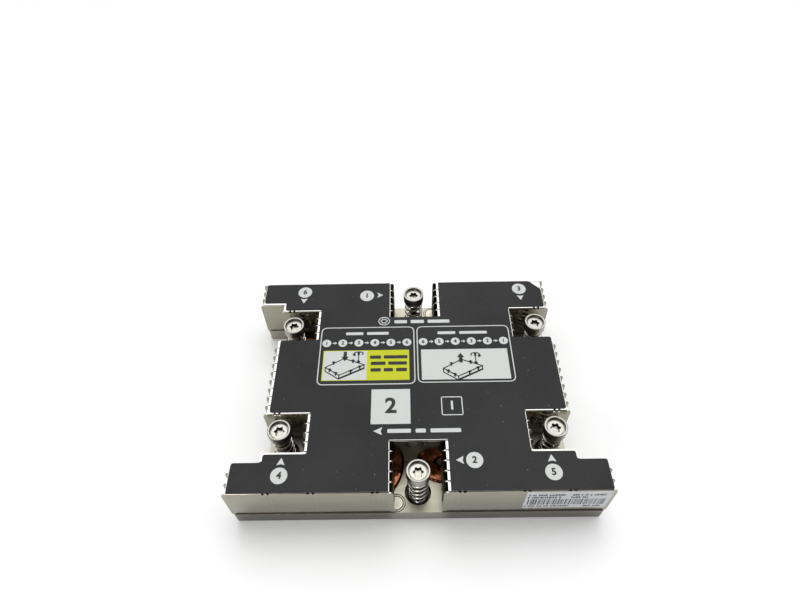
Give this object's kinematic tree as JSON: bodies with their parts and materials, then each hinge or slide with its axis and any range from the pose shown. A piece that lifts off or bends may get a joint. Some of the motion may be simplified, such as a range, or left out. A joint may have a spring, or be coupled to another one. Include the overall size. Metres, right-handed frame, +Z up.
{
  "type": "passive server processor heatsink",
  "caption": "Passive heatsink of folded plate fins on a base plate with inlaid heat pipes, notched for spring-loaded captive screws, with a numbered top label.",
  "frame": {"origin": "on the surface that it stands on, under the middle of the base plate", "axes": "+Z up from the contact face to the label; +X along the long side, towards the rear of the server; -Y is the long side with the sticker"},
  "size_m": [0.1442, 0.1024, 0.0275],
  "materials": {
    "nickel_fins": "satin nickel plate",
    "nickel_base": "satin nickel plate",
    "copper": "polished, heat tinted",
    "copper_plug": "satin",
    "screw_steel": "polished nickel plate",
    "spring_steel": "dark spring wire",
    "ring_steel": "plain",
    "label_film": "printed film",
    "sticker_film": "printed film"
  },
  "bodies": {
    "heatsink": {"base_plate": "nickel_base", "fin_row_01": "nickel_fins", "fin_row_02": "nickel_fins", "fin_row_03": "nickel_fins", "fin_row_04": "nickel_fins", "fin_row_05": "nickel_fins", "fin_row_06": "nickel_fins", "fin_row_07": "nickel_fins", "fin_row_08": "nickel_fins", "fin_row_09": "nickel_fins", "fin_row_10": "nickel_fins", "fin_row_11": "nickel_fins", "fin_row_12": "nickel_fins", "fin_row_13": "nickel_fins", "fin_row_14": "nickel_fins", "fin_row_15": "nickel_fins", "fin_row_16": "nickel_fins", "fin_row_17": "nickel_fins", "fin_row_18": "nickel_fins", "fin_row_19": "nickel_fins", "fin_row_20": "nickel_fins", "fin_row_21": "nickel_fins", "fin_row_22": "nickel_fins", "fin_row_23": "nickel_fins", "fin_row_24": "nickel_fins", "fin_row_25": "nickel_fins", "fin_row_26": "nickel_fins", "front_sticker": "sticker_film", "heat_pipe_back_left": "copper", "heat_pipe_back_right": "copper", "heat_pipe_front_left": "copper", "heat_pipe_front_right": "copper", "press_plug_back": "copper_plug", "press_plug_front": "copper_plug", "spring_1": "spring_steel", "spring_2": "spring_steel", "spring_3": "spring_steel", "spring_4": "spring_steel", "spring_5": "spring_steel", "spring_6": "spring_steel", "top_label": "label_film"},
    "ring_1": {"retaining_ring_1": "ring_steel"},
    "screw_1_body": {"screw_1": "screw_steel"},
    "ring_2": {"retaining_ring_2": "ring_steel"},
    "screw_2_body": {"screw_2": "screw_steel"},
    "ring_3": {"retaining_ring_3": "ring_steel"},
    "screw_3_body": {"screw_3": "screw_steel"},
    "ring_4": {"retaining_ring_4": "ring_steel"},
    "screw_4_body": {"screw_4": "screw_steel"},
    "ring_5": {"retaining_ring_5": "ring_steel"},
    "screw_5_body": {"screw_5": "screw_steel"},
    "ring_6": {"retaining_ring_6": "ring_steel"},
    "screw_6_body": {"screw_6": "screw_steel"}
  },
  "joints": [
    {"name": "screw_1_press", "type": "slide", "parent": "heatsink", "child": "ring_1", "axis": [0, 0, 1], "range_m": [-0.005, 0], "stiffness_N_per_m": 3000, "springref_m": 0.001, "deforming": ["spring_1"]},
    {"name": "screw_1_turn", "type": "hinge", "parent": "ring_1", "child": "screw_1_body", "pos_m": [0, 0.04305, 0.0275], "axis": [0, 0, 1], "continuous": true},
    {"name": "screw_2_press", "type": "slide", "parent": "heatsink", "child": "ring_2", "axis": [0, 0, 1], "range_m": [-0.005, 0], "stiffness_N_per_m": 3000, "springref_m": 0.001, "deforming": ["spring_2"]},
    {"name": "screw_2_turn", "type": "hinge", "parent": "ring_2", "child": "screw_2_body", "pos_m": [0, -0.04305, 0.0275], "axis": [0, 0, 1], "continuous": true},
    {"name": "screw_3_press", "type": "slide", "parent": "heatsink", "child": "ring_3", "axis": [0, 0, 1], "range_m": [-0.005, 0], "stiffness_N_per_m": 3000, "springref_m": 0.001, "deforming": ["spring_3"]},
    {"name": "screw_3_turn", "type": "hinge", "parent": "ring_3", "child": "screw_3_body", "pos_m": [0.0539, 0.02575, 0.0275], "axis": [0, 0, 1], "continuous": true},
    {"name": "screw_4_press", "type": "slide", "parent": "heatsink", "child": "ring_4", "axis": [0, 0, 1], "range_m": [-0.005, 0], "stiffness_N_per_m": 3000, "springref_m": 0.001, "deforming": ["spring_4"]},
    {"name": "screw_4_turn", "type": "hinge", "parent": "ring_4", "child": "screw_4_body", "pos_m": [-0.0539, -0.02575, 0.0275], "axis": [0, 0, 1], "continuous": true},
    {"name": "screw_5_press", "type": "slide", "parent": "heatsink", "child": "ring_5", "axis": [0, 0, 1], "range_m": [-0.005, 0], "stiffness_N_per_m": 3000, "springref_m": 0.001, "deforming": ["spring_5"]},
    {"name": "screw_5_turn", "type": "hinge", "parent": "ring_5", "child": "screw_5_body", "pos_m": [0.0539, -0.02575, 0.0275], "axis": [0, 0, 1], "continuous": true},
    {"name": "screw_6_press", "type": "slide", "parent": "heatsink", "child": "ring_6", "axis": [0, 0, 1], "range_m": [-0.005, 0], "stiffness_N_per_m": 3000, "springref_m": 0.001, "deforming": ["spring_6"]},
    {"name": "screw_6_turn", "type": "hinge", "parent": "ring_6", "child": "screw_6_body", "pos_m": [-0.0539, 0.02575, 0.0275], "axis": [0, 0, 1], "continuous": true}
  ]
}
